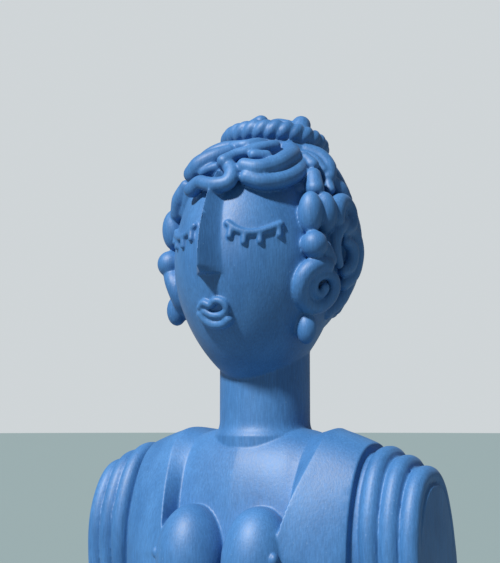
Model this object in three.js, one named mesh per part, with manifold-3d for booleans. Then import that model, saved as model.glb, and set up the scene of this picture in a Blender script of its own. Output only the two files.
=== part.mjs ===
// A terracotta bust of a woman, cast as one hollow piece and painted blue all over.
// Her head is a plain egg with a long wedge nose, closed lids drawn as raised strokes and
// lips like a looped cord. Her hair is thick rolls and coils under a twisted band, and an
// open bodice lies over ribbed sleeves that are cut off flat at the upper arm.
// Millimetres, +Z up. She looks along -Y, and her left side is +X.
// The origin is the middle of the flat underside, straight below the neck.

import * as THREE from "three";
import { ConvexGeometry } from "three/addons/geometries/ConvexGeometry.js";
import { mergeVertices } from "three/addons/utils/BufferGeometryUtils.js";
import Module from "manifold-3d";

const wasm = await Module();
wasm.setup();

// Torso
const TORSO_WIDTH = 212;
const SHOULDER_HEIGHT = 120;
const SHOULDER_DROP = 26;
const SHOULDER_ROUNDING = 2.6;
const COLLAR_RISE = 4;
const CHEST_DEPTH = 44;
const CHEST_FULLNESS = 3.3;
const ARM_DEPTH = 28;
const ARM_FULLNESS = 2.5;
const SLEEVE_TUCK = 0.3;
const BACK_SHARE = 0.86;

// Neck and head
const NECK_RADIUS = 26;
const NECK_FLARE = 3;
const NECK_LENGTH = 26;
const HEAD_WIDTH = 90;
const HEAD_DEPTH = 105;
const HEAD_HEIGHT = 137;
const HEAD_FORWARD = 9;
const CHIN_DROP = 5;
const CHIN_TAPER = 0.2;

// Bodice, sleeves and breasts
const BODICE_THICKNESS = 7;
const BODICE_EDGE_RISE = 14;
const BODICE_HALF_WIDTH = 70;
const SLEEVE_ROLLS = 3;
const SLEEVE_ROLL_PITCH = 10.5;
const SLEEVE_ROLL_RADIUS = 5.4;
const SLEEVE_ROLL_LEAN = 3;
const BREAST_SPACING = 42;
const BREAST_WIDTH = 40;
const BREAST_DEPTH = 21;
const BREAST_HEIGHT = 62;

// Hair
const HAIR_WIDTH = 96;
const HAIR_DEPTH = 97;
const HAIR_HEIGHT = 118;
const HAIR_BACKWARD = 8;
const BAND_RADIUS = 27;
const BAND_THICKNESS = 4.9;
const BAND_TWISTS = 36;

const DEGREE = Math.PI / 180;
const HALF = TORSO_WIDTH / 2;
const HEAD_RADII = new THREE.Vector3(HEAD_WIDTH, HEAD_DEPTH, HEAD_HEIGHT - CHIN_DROP).multiplyScalar(0.5);
const HEAD_LEVEL = SHOULDER_HEIGHT + NECK_LENGTH + CHIN_DROP + HEAD_RADII.z;
const HEAD_CENTRE = new THREE.Vector3(0, -HEAD_FORWARD, HEAD_LEVEL);
const HAIR_RADII = new THREE.Vector3(HAIR_WIDTH, HAIR_DEPTH, HAIR_HEIGHT).multiplyScalar(0.5);
const HAIR_CENTRE = new THREE.Vector3(0, HAIR_BACKWARD, HEAD_CENTRE.z + HEAD_RADII.z * 0.16);
const HAIR_POLE = new THREE.Vector3(0, 0, HEAD_CENTRE.z + HEAD_RADII.z * 0.08);
// Rolls of hair and the strokes of the face are drawn for a head of this width.
const DRAWN_HEAD_WIDTH = 90;
const CARVING = HEAD_WIDTH / DRAWN_HEAD_WIDTH;

// A closed geometry as a solid that can be joined and cut.
function solid(geometry) {
  geometry.deleteAttribute("normal");
  geometry.deleteAttribute("uv");
  const merged = mergeVertices(geometry, 1e-3);
  return new wasm.Manifold(
    new wasm.Mesh({
      numProp: 3,
      vertProperties: merged.attributes.position.array,
      triVerts: new Uint32Array(merged.index.array),
    }),
  );
}

// Every vertex of a geometry moved by a function of its place and number.
function reshape(geometry, move) {
  const place = geometry.attributes.position;
  const vertex = new THREE.Vector3();
  for (let i = 0; i < place.count; i++) {
    vertex.fromBufferAttribute(place, i);
    const moved = move(vertex, i);
    place.setXYZ(i, moved.x, moved.y, moved.z);
  }
  return geometry;
}

// An ellipsoid, upright in its own frame.
function ellipsoid(centre, radii, sides, rings) {
  const geometry = new THREE.SphereGeometry(1, sides, rings);
  geometry.rotateX(Math.PI / 2);
  geometry.scale(radii.x, radii.y, radii.z);
  geometry.translate(centre.x, centre.y, centre.z);
  return solid(geometry);
}

// The value at share t of a short list, in straight steps.
function along(list, t) {
  const at = t * (list.length - 1);
  const low = Math.min(Math.floor(at), list.length - 2);
  return THREE.MathUtils.lerp(list[low], list[low + 1], at - low);
}

// A roll along a smooth line through points, as thick as its radii say, with a round end
// beyond its first and its last point. outward gives the direction that faces away from
// what carries the roll.
function roll(points, radii, outward, { sides = 5, steps = 6 } = {}) {
  const ends = [radii[0], radii[radii.length - 1]];
  const beyond = (end, next, radius) => end.clone().sub(next).setLength(radius).add(end);
  const first = beyond(points[0], points[1], ends[0]);
  const last = beyond(points[points.length - 1], points[points.length - 2], ends[1]);
  const line = new THREE.CatmullRomCurve3([first, ...points, last], false, "centripetal");
  const length = line.getLength();
  const cap = ends.map((radius) => Math.min(radius / length, 0.45));
  const stops = [0];
  for (let i = 0; i <= steps; i++) {
    stops.push(THREE.MathUtils.lerp(cap[0] * 0.6, 1 - cap[1] * 0.6, i / steps));
  }
  stops.push(1);
  const rounding = (t) => {
    const left = Math.min(t / cap[0], (1 - t) / cap[1], 1);
    return Math.sqrt(Math.max(0, 1 - (1 - left) ** 2));
  };
  const geometry = new THREE.SphereGeometry(1, sides, stops.length - 1);
  const rows = stops.map((t) => {
    const centre = line.getPointAt(t);
    const tangent = line.getTangentAt(t);
    const up = outward(centre);
    up.addScaledVector(tangent, -up.dot(tangent)).normalize();
    const across = new THREE.Vector3().crossVectors(tangent, up);
    const share = THREE.MathUtils.clamp((t - cap[0]) / (1 - cap[0] - cap[1]), 0, 1);
    return { centre, up, across, radius: along(radii, share) * rounding(t) };
  });
  const turned = new THREE.Vector3();
  return solid(
    reshape(geometry, (vertex, i) => {
      const row = rows[Math.floor(i / (sides + 1))];
      const angle = ((i % (sides + 1)) / sides) * 2 * Math.PI;
      return turned
        .copy(row.centre)
        .addScaledVector(row.up, -Math.cos(angle) * row.radius)
        .addScaledVector(row.across, Math.sin(angle) * row.radius);
    }),
  );
}

// How much narrower the head is than its ellipsoid, by height as a share from the middle
// to the chin, which is negative.
const chinShare = (height) => 1 - CHIN_TAPER * Math.min(height, 0) ** 2;

// How far the head reaches above or below its middle.
const headReach = (height) => HEAD_RADII.z + (height < 0 ? CHIN_DROP : 0);

// The head: an egg that narrows to the chin.
function head() {
  const geometry = new THREE.SphereGeometry(1, 20, 14).rotateX(Math.PI / 2);
  return solid(
    reshape(geometry, (vertex) => {
      const slim = chinShare(vertex.z);
      const stretch = new THREE.Vector3(HEAD_RADII.x * slim, HEAD_RADII.y * slim, headReach(vertex.z));
      return stretch.multiply(vertex).add(HEAD_CENTRE);
    }),
  );
}

// How far along a ray from an inner point an ellipsoid's skin is.
function reach(from, direction, centre, radii) {
  const d = direction.clone().divide(radii);
  const o = from.clone().sub(centre).divide(radii);
  const a = d.dot(d);
  const b = o.dot(d);
  return (-b + Math.sqrt(b * b - a * (o.dot(o) - 1))) / a;
}

// A place on the head, by degrees round from the nose towards her left and degrees up,
// with a lift out of the skin or the hair, whichever stands further out there.
function onHead(azimuth, elevation, lift = 0) {
  const level = Math.cos(elevation * DEGREE);
  const direction = new THREE.Vector3(
    Math.sin(azimuth * DEGREE) * level,
    -Math.cos(azimuth * DEGREE) * level,
    Math.sin(elevation * DEGREE),
  );
  const skin = reach(HAIR_POLE, direction, HEAD_CENTRE, HEAD_RADII) * chinShare(direction.z);
  const hair = reach(HAIR_POLE, direction, HAIR_CENTRE, HAIR_RADII);
  return HAIR_POLE.clone().addScaledVector(direction, Math.max(skin, hair) + lift * CARVING);
}

const fromHead = (point) => point.clone().sub(HAIR_POLE).normalize();

// A roll of hair through places on the head, each given as azimuth, elevation and lift.
function lock(places, radii, options) {
  const points = places.map(([azimuth, elevation, lift]) => onHead(azimuth, elevation, lift));
  return roll(points, radii.map((r) => r * CARVING), fromHead, options);
}

// A bead of hair that sits on the head, round or drawn out upright.
function bead(azimuth, elevation, lift, width, height) {
  const half = CARVING / 2;
  const radii = new THREE.Vector3(width * half, width * half, height * half);
  return ellipsoid(onHead(azimuth, elevation, lift), radii, 7, 5);
}

// A snail of hair, lying flat on the head. It winds in from its outer end, and hand 1
// turns it towards her left at the top.
function snail(azimuth, elevation, outerRadius, rollRadius, { turns, start, hand, lift }) {
  const centre = onHead(azimuth, elevation, lift);
  const out = fromHead(centre);
  const side = new THREE.Vector3(Math.cos(azimuth * DEGREE), Math.sin(azimuth * DEGREE), 0);
  const up = new THREE.Vector3().crossVectors(out, side).normalize();
  const outer = (outerRadius - rollRadius) * CARVING;
  const inner = rollRadius * 0.55 * CARVING;
  const stops = Math.ceil(turns * 7);
  const points = [];
  for (let i = 0; i <= stops; i++) {
    const t = i / stops;
    const angle = (start - hand * 360 * turns * t) * DEGREE;
    const radius = THREE.MathUtils.lerp(outer, inner, t);
    points.push(
      centre
        .clone()
        .addScaledVector(side, Math.cos(angle) * radius)
        .addScaledVector(up, Math.sin(angle) * radius)
        .addScaledVector(out, rollRadius * 0.5 * t * CARVING),
    );
  }
  const radii = [rollRadius, rollRadius * 0.95, rollRadius * 0.6].map((r) => r * CARVING);
  return roll(points, radii, fromHead, { sides: 5, steps: stops });
}

// A place on the torso: across it, and by degrees from the front of the underside over
// the shoulder to the back of the underside, with a rise out of the skin.
function onTorso(x, angle, rise = 0) {
  const share = Math.min(Math.abs(x) / HALF, 1);
  const collar = 1 - THREE.MathUtils.smoothstep(Math.abs(x), NECK_RADIUS, NECK_RADIUS * 2);
  const top = SHOULDER_HEIGHT - SHOULDER_DROP * share ** SHOULDER_ROUNDING + COLLAR_RISE * collar;
  const front = THREE.MathUtils.lerp(CHEST_DEPTH, ARM_DEPTH, share ** 1.8);
  const fullness = THREE.MathUtils.lerp(CHEST_FULLNESS, ARM_FULLNESS, Math.min(share * 2.6, 1));
  const c = Math.cos(angle * DEGREE);
  const s = Math.sin(angle * DEGREE);
  const depth = c > 0 ? front : front * BACK_SHARE;
  const z = top * Math.sign(s) * Math.abs(s) ** (2 / fullness);
  const low = THREE.MathUtils.smoothstep(SHOULDER_HEIGHT * 0.66 - z, 0, SHOULDER_HEIGHT * 0.5);
  const outside = THREE.MathUtils.smoothstep(Math.abs(x), HALF * 0.57, HALF * 0.8);
  const tuck = c > 0 ? SLEEVE_TUCK * low * outside : 0;
  const y = -depth * (1 - tuck) * Math.sign(c) * Math.abs(c) ** (2 / fullness);
  const steep = fullness - 1;
  const normal = new THREE.Vector3(
    0,
    (Math.sign(y) * Math.abs(y / depth) ** steep) / depth,
    (Math.sign(z) * Math.abs(z / top) ** steep) / top,
  );
  return new THREE.Vector3(x, y, z).addScaledVector(normal.normalize(), rise);
}

// The trunk with the stumps of both arms, lofted across from cut to cut.
function trunk() {
  const geometry = new THREE.CylinderGeometry(1, 1, TORSO_WIDTH, 22, 8);
  geometry.rotateZ(Math.PI / 2);
  return solid(
    reshape(geometry, (vertex) => {
      const fullness = Math.hypot(vertex.y, vertex.z);
      const angle = Math.atan2(vertex.z, -vertex.y) / DEGREE;
      const rim = onTorso(vertex.x, angle);
      return new THREE.Vector3(vertex.x, rim.y * fullness, rim.z * fullness);
    }),
  );
}

// Half the width of the bodice's opening, by the same degrees as onTorso: a round lower
// end under the breasts, wider over the chest, and a round neckline behind.
function openingHalfWidth(angle) {
  const lower = { from: 6, to: 22, width: 0.5 };
  const chest = { to: 60, width: 0.58 };
  const shoulder = { to: 90, width: 0.58 };
  const nape = { to: 116 };
  const round = (share) => Math.sqrt(Math.max(0, 1 - share * share));
  const between = (from, to) => THREE.MathUtils.mapLinear(angle, from.to, to.to, from.width, to.width);
  const share = () => {
    if (angle < lower.to) return lower.width * round((lower.to - angle) / (lower.to - lower.from));
    if (angle < chest.to) return between(lower, chest);
    if (angle < shoulder.to) return between(chest, shoulder);
    return shoulder.width * round((angle - shoulder.to) / (nape.to - shoulder.to));
  };
  return BODICE_HALF_WIDTH * share();
}

// One half of the bodice: a strip from the underside in front, over the shoulder and down
// the whole back, where it meets the other half.
function bodiceHalf(side) {
  const steps = 14;
  const overlap = 1;
  const geometry = new THREE.BoxGeometry(1, 1, 1, 2, steps, 1);
  return solid(
    reshape(geometry, (vertex) => {
      const angle = THREE.MathUtils.mapLinear(vertex.y, -0.5, 0.5, -8, 188);
      const share = 0.5 + side * vertex.x;
      const inner = openingHalfWidth(angle) - overlap;
      const x = THREE.MathUtils.lerp(inner, BODICE_HALF_WIDTH, share);
      const edgeShare = 1 - THREE.MathUtils.smoothstep(angle, 22, 60);
      const edge = THREE.MathUtils.lerp(BODICE_THICKNESS * 0.6, BODICE_EDGE_RISE, edgeShare);
      const thickness = THREE.MathUtils.lerp(edge, BODICE_THICKNESS * 0.7, share);
      const rise = vertex.z > 0 ? thickness : -BODICE_THICKNESS;
      const place = onTorso(x, angle, rise);
      place.x *= side;
      return place;
    }),
  );
}

// The rolls of a puffed sleeve, side by side out to the cut of the arm.
function sleeve(side) {
  const rolls = [];
  for (let i = 0; i < SLEEVE_ROLLS; i++) {
    const foot = HALF - SLEEVE_ROLL_RADIUS - i * SLEEVE_ROLL_PITCH;
    const points = [];
    for (let angle = -14; angle <= 194; angle += 16) {
      const x = foot - SLEEVE_ROLL_LEAN * Math.max(0, Math.sin(angle * DEGREE));
      points.push(onTorso(side * x, angle, 1));
    }
    const out = (point) => new THREE.Vector3(0, point.y, point.z).normalize();
    rolls.push(roll(points, [SLEEVE_ROLL_RADIUS, SLEEVE_ROLL_RADIUS], out, { steps: 9 }));
  }
  return rolls;
}

// A breast with its nipple, which points well outwards.
function breast(side) {
  const spread = (side * BREAST_SPACING) / 2;
  const centre = new THREE.Vector3(spread, -CHEST_DEPTH * 0.99, SHOULDER_HEIGHT * 0.43);
  const radii = new THREE.Vector3(BREAST_WIDTH / 2, BREAST_DEPTH, BREAST_HEIGHT / 2);
  const towards = new THREE.Vector3(side * 0.8, -0.56, 0.15).multiply(radii);
  const tip = new THREE.Vector3(2.8, 2.8, 3.6);
  return [ellipsoid(centre, radii, 12, 8), ellipsoid(centre.clone().add(towards), tip, 6, 4)];
}

// The neck, flared where it grows out of the chest.
function neck() {
  const foot = SHOULDER_HEIGHT * 0.75;
  const flareHeight = NECK_FLARE * 3;
  const profile = [
    new THREE.Vector2(0, foot),
    new THREE.Vector2(NECK_RADIUS + NECK_FLARE, foot),
    new THREE.Vector2(NECK_RADIUS + NECK_FLARE, SHOULDER_HEIGHT - 1),
    new THREE.Vector2(NECK_RADIUS + NECK_FLARE * 0.25, SHOULDER_HEIGHT + flareHeight * 0.4),
    new THREE.Vector2(NECK_RADIUS, SHOULDER_HEIGHT + flareHeight),
    new THREE.Vector2(NECK_RADIUS, HEAD_CENTRE.z),
    new THREE.Vector2(0, HEAD_CENTRE.z),
  ];
  return solid(new THREE.LatheGeometry(profile, 20).rotateX(Math.PI / 2));
}

// The front of the face at a place given by x and by height over the middle of the head.
function onFace(x, height, lift = 0) {
  const share = height / headReach(height);
  const slim = chinShare(share);
  const rest = 1 - (x / (HEAD_RADII.x * slim)) ** 2 - share ** 2;
  const y = HEAD_CENTRE.y - HEAD_RADII.y * slim * Math.sqrt(Math.max(rest, 0)) - lift;
  return new THREE.Vector3(x, y, HEAD_CENTRE.z + height);
}

const fromFace = (point) => {
  const share = point.clone().sub(HEAD_CENTRE).divide(HEAD_RADII);
  return share.divide(HEAD_RADII).normalize();
};

// A raised stroke on the face through places given as x and height, in carving units.
function stroke(places, radius, lift, options) {
  const points = places.map(([x, height]) => onFace(x * CARVING, height * CARVING, lift * CARVING));
  return roll(points, [radius * CARVING, radius * CARVING], fromFace, options);
}

// The long straight nose: a wedge with its ridge from the hairline to the tip.
function nose() {
  const top = HEAD_RADII.z * 0.74;
  const tip = -HEAD_RADII.z * 0.08;
  const foot = -HEAD_RADII.z * 0.14;
  const ridge = HEAD_WIDTH * 0.14;
  const halfWidthTop = HEAD_WIDTH * 0.045;
  const halfWidth = HEAD_WIDTH * 0.105;
  const deep = -HEAD_WIDTH * 0.08;
  const points = [onFace(0, top, ridge * 0.75), onFace(0, tip, ridge)];
  for (const side of [-1, 1]) {
    points.push(onFace(side * halfWidthTop, top, deep), onFace(side * halfWidthTop, top, 0));
    points.push(onFace(side * halfWidth, foot, deep), onFace(side * halfWidth, foot, 0));
  }
  return solid(new ConvexGeometry(points));
}

// A closed eye: the lid's edge as a sagging stroke, with short straight lashes under it.
function eye(side) {
  const inner = 10.5;
  const outer = 34;
  const height = 18;
  const sag = 5.5;
  const lashes = 4;
  const lashLength = 5.4;
  const lidHeight = (x) => {
    const share = ((x - inner) / (outer - inner)) * 2 - 1;
    return height - sag * (1 - share * share);
  };
  const lid = [];
  for (let i = 0; i <= 6; i++) {
    const x = THREE.MathUtils.lerp(inner, outer, i / 6);
    lid.push([side * x, lidHeight(x)]);
  }
  const strokes = [stroke(lid, 1.6, 0.8, { sides: 4, steps: 4 })];
  for (let i = 0; i < lashes; i++) {
    const x = THREE.MathUtils.lerp(inner, outer, 0.1 + (i * 0.86) / (lashes - 1));
    const lean = (i - 1) * 0.4;
    const lash = [
      [side * x, lidHeight(x)],
      [side * (x + lean), lidHeight(x) - lashLength],
    ];
    strokes.push(stroke(lash, 1.7, 0.8, { sides: 4, steps: 1 }));
  }
  return strokes;
}

// Small lips laid like a cord: a bow that folds back along the mouth, and a lower lip.
function mouth() {
  const bow = [
    [-8.5, -27],
    [-5, -24.8],
    [-1, -26.3],
    [2.5, -23.8],
    [6.8, -24.8],
    [8.3, -28.3],
    [4.5, -31.6],
    [-1.5, -31.4],
    [-6, -29],
  ];
  const lowerLip = [
    [-9, -30.5],
    [-6, -34],
    [-1, -36.3],
    [4.5, -36],
    [8, -33.8],
  ];
  return [stroke(bow, 2, 1.2, { steps: 12 }), stroke(lowerLip, 2.9, 0.9, { steps: 4 })];
}

// The rolls over the forehead: a leaf and a knotted loop on her right, and a great swirl
// of nested rolls that sweeps over from her left. All lie on two low rolls.
function fringe() {
  const bed = [
    lock(
      [[-48, 28, 0], [-36, 39, 0], [-20, 43, 1], [4, 44, 1], [28, 43, 1], [52, 50, 1]],
      [4, 5, 5, 5, 5, 5],
    ),
    lock(
      [[-34, 56, 0], [-14, 56, 1], [12, 57, 1], [44, 63, 1], [76, 62, 0]],
      [5, 6, 6, 6, 6],
      { steps: 5 },
    ),
  ];
  const leaf = [
    lock([[0, 55, 6], [-8, 50, 7], [-16, 45, 8], [-24, 41, 7]], [3.6, 5, 5.8, 5], { steps: 4 }),
    lock([[2, 62, 5.5], [-9, 59, 6.5], [-20, 54, 7], [-31, 47, 6.5]], [3.2, 4.2, 4.5, 3.8], { steps: 4 }),
    lock([[1, 59, 7], [13, 58, 7.5], [23, 62, 7.5], [31, 66, 6]], [2.8, 3.4, 3.3, 2.7], { steps: 3 }),
    lock([[-40, 40, 5.5], [-46, 33, 5.5], [-52, 26, 4.5]], [3.2, 4.8, 4.2], { steps: 2 }),
  ];
  const knot = [
    lock(
      [[4, 44, 8], [9, 50, 7], [17, 53, 7], [28, 58, 7], [40, 63, 7]],
      [4.7, 3.4, 3.3, 3.6, 3.9],
      { steps: 5 },
    ),
    lock(
      [[5, 44, 6], [10, 38, 6], [9, 32.5, 5.5], [2, 31, 5.5], [-5, 32.5, 5.5], [-11, 34, 5.5], [-17, 31.5, 5]],
      [3.9, 4.1, 4.4, 4.5, 4.1, 4.3, 4.8],
      { steps: 9 },
    ),
  ];
  const swirl = [
    lock(
      [[66, 69, 6], [60, 61, 7], [47, 52, 7.5], [35, 44, 7.5], [25, 40.5, 7.5], [17, 42, 6.5]],
      [4.4, 4.9, 5.2, 5.2, 5, 4.6],
    ),
    lock(
      [[68, 57, 4], [54, 46, 4.5], [40, 38, 4.5], [28, 35, 4.5], [19, 36.5, 4.5]],
      [5, 5.2, 5, 4.8, 4.3],
    ),
    lock([[22, 48, 6], [31, 49, 5.5]], [3.6, 3.8], { steps: 1 }),
    lock([[84, 66, 0], [72, 50, 0], [60, 42, -1]], [6, 5, 4], { steps: 3 }),
  ];
  return [...bed, ...leaf, ...knot, ...swirl];
}

// The hair down one side of the face: a chain of beads beside the cheek that ends in a
// snail and a drop, and behind it a hook, a star and crossing strands.
function sideCurls(side) {
  const strand = (places, radii, steps) => {
    const placed = places.map(([azimuth, elevation, lift]) => [side * azimuth, elevation, lift]);
    return lock(placed, radii, { steps });
  };
  // How much lower the bulbs, the bead, the snail and the drop hang on her right.
  const [bulbs, round, coil, drop] = side < 0 ? [4, 6, 0, -14] : [0, 0, 0, 0];
  const chain = [
    strand([[76, 50, -1], [72, 24, -1], [70, 0, -1], [72, -24, -1]], [5, 6, 6, 5], 4),
    strand([[72, 58.5, 4.5], [74, 53, 4.5]], [3.4, 5], 1),
    strand([[70, 45.5, 5], [67, 37, 5]], [4.8, 6.2], 1),
    bead(side * 59, 21 - bulbs, 5.5, 14, 24),
    bead(side * 71, 22 - bulbs, 7, 14, 24),
    bead(side * 59.5, 2 - round, 5.5, 15, 15.5),
    strand([[67, -round, 5], [72, -6, 4.5]], [5.4, 5.6], 1),
    snail(side * 66.5, -22 - coil, 17, 5.2, { hand: -side, turns: 1.4, start: 80, lift: 5 }),
    bead(side * 62, -45 - drop, 8.5, 12, 18),
  ];
  const behind = [
    strand(
      [[80, 19, 6.5], [82, 26, 7.5], [90, 30, 7], [98, 26, 6], [98, 18, 5.5], [89, 13, 5]],
      [5, 5.6, 4.8, 4.4, 3.8, 3],
      6,
    ),
    strand([[94, 20, 4.5], [81, 12, 6.5], [79, 4, 5.5], [86, -8, 4]], [2.8, 4, 3.9, 2.8], 4),
    strand(
      [[92, 14, 3], [103, 14, 3], [110, 4, 3], [108, -10, 3], [98, -20, 3]],
      [3.6, 4.6, 5, 4.8, 3.6],
      6,
    ),
    strand([[93, 8, 3.5], [101, 3, 4], [100, -7, 4], [94, -12, 3]], [3, 3.8, 3.8, 3], 3),
    strand([[112, -14, 0], [108, -29, 0], [97, -42, 0]], [5, 5.4, 4.4], 2),
    strand([[112, 32, 0], [118, 14, -1], [120, -4, -1]], [5.4, 6.6, 6], 2),
    strand([[99, 56, 3], [90, 47, 4], [87, 39, 4]], [2.8, 3.4, 3], 2),
    strand([[92, 66, 5], [97, 59, 6.5], [95, 52, 6.5], [90, 46, 5]], [5, 5.8, 5.6, 4], 3),
    strand([[114, 64, 1], [114, 52, 1], [118, 40, 0]], [6, 7, 6], 2),
  ];
  return [...chain, ...behind];
}

// The wavy rolls that hang down the back of the head to the nape.
function backHair() {
  const rolls = [];
  const count = 7;
  const wave = 4;
  for (let i = 0; i < count; i++) {
    const azimuth = THREE.MathUtils.lerp(128, 232, i / (count - 1));
    const heights = [68, 44, 16, -12, -36];
    const places = heights.map((elevation, j) => [azimuth + (j % 2 ? wave : -wave), elevation, -2.5]);
    rolls.push(lock(places, [6, 8, 8, 7, 4.5], { steps: 4 }));
  }
  return rolls;
}

// A place on the tilted ring of the band, by degrees round from the front.
function onBand(degrees, radius, rise = 0) {
  const centre = new THREE.Vector3(0, HEAD_WIDTH * 0.133, HEAD_CENTRE.z + HEAD_HEIGHT * 0.533);
  const tilt = 10 * DEGREE;
  const angle = degrees * DEGREE;
  const level = new THREE.Vector3(Math.sin(angle) * radius, -Math.cos(angle) * radius, rise);
  return level.applyAxisAngle(new THREE.Vector3(1, 0, 0), -tilt).add(centre);
}

// The twisted band round the crown: two strands laid round each other.
function band() {
  const sides = 5;
  const steps = 54;
  const geometry = new THREE.TorusGeometry(1, 0.3, sides, steps);
  return solid(
    reshape(geometry, (vertex, i) => {
      const section = (Math.floor(i / (steps + 1)) / sides) * 2 * Math.PI;
      const round = (i % (steps + 1)) / steps;
      const twist = Math.cos(section - round * Math.PI * BAND_TWISTS);
      const thickness = BAND_THICKNESS * (1 + 0.16 * twist);
      const ring = BAND_RADIUS * CARVING + Math.cos(section) * thickness;
      return onBand(round * 360, ring, Math.sin(section) * thickness * 1.15);
    }),
  );
}

// The knot of hair inside the band: a low mound with loops that stand out of it.
function crown() {
  const mound = onBand(0, 0, 0);
  const fromMound = (point) => point.clone().sub(mound).normalize();
  const loop = (places, radii, steps) => {
    const grown = places.map((place) => place.map((value, i) => (i ? value * CARVING : value)));
    const points = grown.map((place) => onBand(...place));
    return roll(points, radii.map((r) => r * CARVING), fromMound, { steps });
  };
  return [
    ellipsoid(onBand(0, 0, -9), new THREE.Vector3(31, 31, 16).multiplyScalar(CARVING), 12, 6),
    loop([[-110, 18, 2], [-62, 16, 7], [-10, 14, 10]], [5, 5.4, 4.6], 3),
    loop([[-6, 8, 8], [24, 7, 10.5], [60, 13, 9]], [3.6, 4.2, 4], 3),
    loop([[74, 21, 0], [78, 19, 6], [84, 18, 11]], [6.6, 6.4, 5.2], 2),
    loop([[96, 19, 3], [140, 19, 8], [180, 18, 9], [220, 19, 8], [256, 18, 3]], [5, 6, 6, 6, 5], 5),
    loop([[-60, 6, 6], [-150, 7, 10], [150, 6, 7]], [4, 5, 4], 3),
  ];
}

// The whole bust as one casting, cut flat underneath.
function bust() {
  const sides = [-1, 1];
  const pieces = [
    trunk(),
    neck(),
    ...sides.map(bodiceHalf),
    ...sides.flatMap(sleeve),
    ...sides.flatMap(breast),
    head(),
    ellipsoid(HAIR_CENTRE, HAIR_RADII, 14, 8),
    nose(),
    ...sides.flatMap(eye),
    ...mouth(),
    ...fringe(),
    ...sides.flatMap(sideCurls),
    ...backHair(),
    band(),
    ...crown(),
  ];
  const whole = pieces.reduce((joined, piece) => joined.add(piece));
  const room = SHOULDER_HEIGHT * 2;
  const below = new THREE.BoxGeometry(TORSO_WIDTH * 2, TORSO_WIDTH * 2, room).translate(0, 0, -room / 2);
  return whole.subtract(solid(below));
}

// A solid back as a geometry that three.js draws.
function geometryOf(shape) {
  const mesh = shape.getMesh();
  const corners = new Float32Array(mesh.numVert * 3);
  for (let i = 0; i < mesh.numVert; i++) {
    const first = i * mesh.numProp;
    corners.set(mesh.vertProperties.subarray(first, first + 3), i * 3);
  }
  const geometry = new THREE.BufferGeometry();
  geometry.setAttribute("position", new THREE.BufferAttribute(corners, 3));
  geometry.setIndex(new THREE.BufferAttribute(mesh.triVerts, 1));
  geometry.computeVertexNormals();
  return geometry;
}

const paint = new THREE.MeshStandardMaterial({ color: 0x4a86c4, roughness: 0.55, metalness: 0 });
const figure = new THREE.Mesh(geometryOf(bust()), paint);
figure.name = "bust";

const part = new THREE.Group();
part.add(figure);

export default part;
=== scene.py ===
"""Blue painted terracotta bust of a woman, cast as one hollow piece.

Her head is a plain egg with a long wedge nose, closed lids drawn as raised strokes and lips
like a looped cord. Her hair is thick rolls, beads and snails under a twisted band, and an open
bodice lies over ribbed sleeves that are cut off flat at the upper arm. The forms are modelled
one by one, in metres, and then fused, softened and painted as one cast. She looks along -Y, and
her left side is +X.
"""

from __future__ import annotations

import logging
import math
from collections.abc import Callable, Sequence
from dataclasses import dataclass, field
from enum import Enum

import bpy
from mathutils import Matrix, Vector

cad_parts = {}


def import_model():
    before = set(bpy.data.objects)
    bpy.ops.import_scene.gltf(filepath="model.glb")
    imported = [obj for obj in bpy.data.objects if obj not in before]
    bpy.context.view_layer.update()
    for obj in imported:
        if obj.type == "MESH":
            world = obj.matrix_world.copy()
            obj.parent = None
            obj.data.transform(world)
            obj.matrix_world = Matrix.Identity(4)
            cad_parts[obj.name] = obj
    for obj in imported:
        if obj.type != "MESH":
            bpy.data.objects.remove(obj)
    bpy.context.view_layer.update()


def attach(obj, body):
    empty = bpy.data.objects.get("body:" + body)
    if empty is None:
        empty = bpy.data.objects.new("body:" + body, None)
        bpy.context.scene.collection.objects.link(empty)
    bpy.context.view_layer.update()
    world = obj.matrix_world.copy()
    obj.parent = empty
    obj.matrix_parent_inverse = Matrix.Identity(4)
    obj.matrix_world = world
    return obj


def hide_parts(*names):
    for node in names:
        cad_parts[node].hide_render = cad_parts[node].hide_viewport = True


LOG = logging.getLogger("bust")
MM = 0.001

Places = Sequence[tuple[float, float, float]]
Colour = tuple[float, float, float]


class Side(Enum):
    """Her right or left side, as the sign of X."""

    RIGHT = -1
    LEFT = 1


def deselect() -> None:
    """Leave edit mode and select nothing."""
    if bpy.context.object and bpy.context.object.mode != "OBJECT":
        bpy.ops.object.mode_set(mode="OBJECT")
    bpy.ops.object.select_all(action="DESELECT")


def pick(pieces: Sequence[bpy.types.Object]) -> None:
    """Select some objects only, the first of them active.

    Args:
        pieces: The objects to select.
    """
    deselect()
    for piece in pieces:
        piece.select_set(True)
    bpy.context.view_layer.objects.active = pieces[0]


def lerp(low: float, high: float, share: float) -> float:
    """Give the value at a share of the way from low to high."""
    return low + (high - low) * share


def along(values: Sequence[float], share: float) -> float:
    """Give the value at a share along a short list, in straight steps.

    Args:
        values: Two values or more.
        share: 0 at the first value, 1 at the last.

    Returns:
        The value there.
    """
    at = share * (len(values) - 1)
    low = min(int(at), len(values) - 2)
    return lerp(values[low], values[low + 1], at - low)


def ease(value: float, low: float, high: float) -> float:
    """Give 0 below low, 1 above high and a soft step in between."""
    share = min(max((value - low) / (high - low), 0.0), 1.0)
    return share * share * (3 - 2 * share)


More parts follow.
